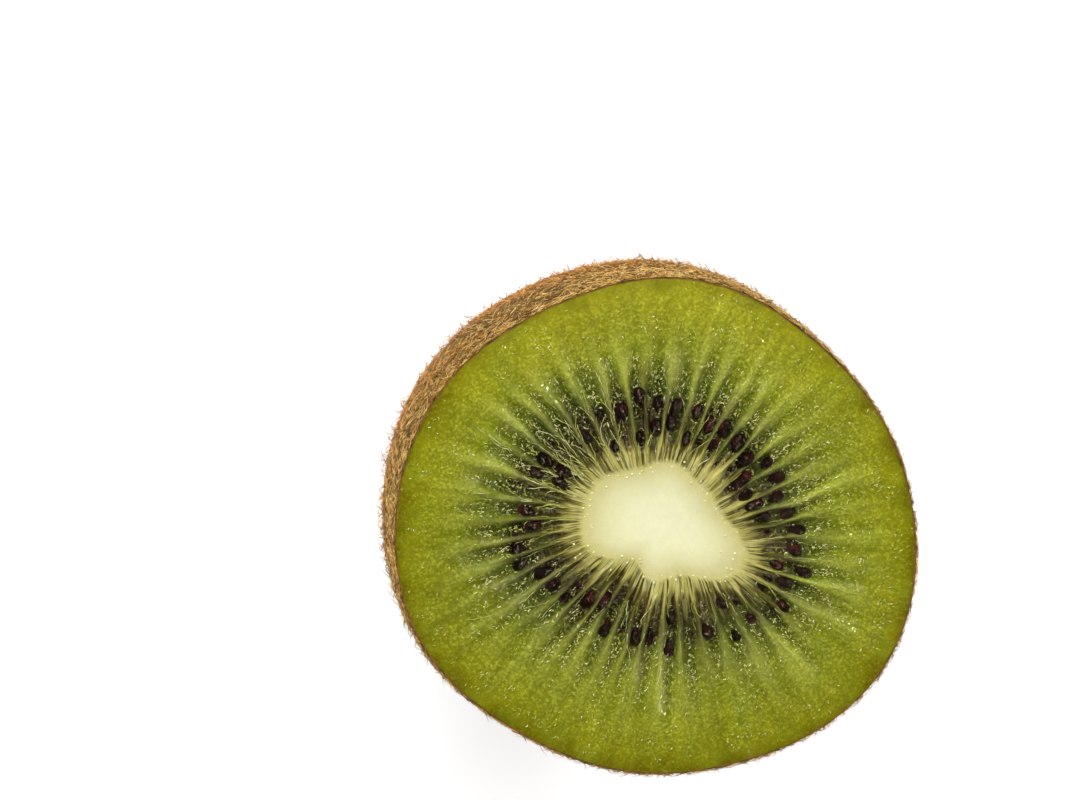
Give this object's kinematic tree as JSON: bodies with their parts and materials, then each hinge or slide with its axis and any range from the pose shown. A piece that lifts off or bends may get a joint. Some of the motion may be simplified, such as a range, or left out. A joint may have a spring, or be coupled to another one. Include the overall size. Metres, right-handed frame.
{
  "type": "kiwi fruit half",
  "caption": "Kiwi fruit half, cut across the middle: green flesh round a pale core, dark seeds in a ring, fuzzy brown skin. Rests on its stem end with the cut face up.",
  "frame": {"origin": "bottom centre: in the middle of the outline's box, on the flat spot at the stem end", "axes": "+Z from the stem end to the cut face, +X along the longer way across the cut, +Y along the shorter way across it"},
  "size_m": [0.0542, 0.048, 0.032],
  "materials": {
    "flesh": "wet translucent green fruit flesh with pale rays, under a fuzzy olive-brown skin",
    "core": "moist creamy pith, smooth, with a ring of small bright dots at its border",
    "skin": "thin matt olive-brown rind with red-brown specks",
    "fuzz": "short matted tan hairs",
    "seed": "glossy wet purple-black seed coat",
    "stem_scar": "dry dark woody scar"
  },
  "bodies": {
    "root": {"flesh": "flesh", "core": "core"}
  },
  "joints": []
}
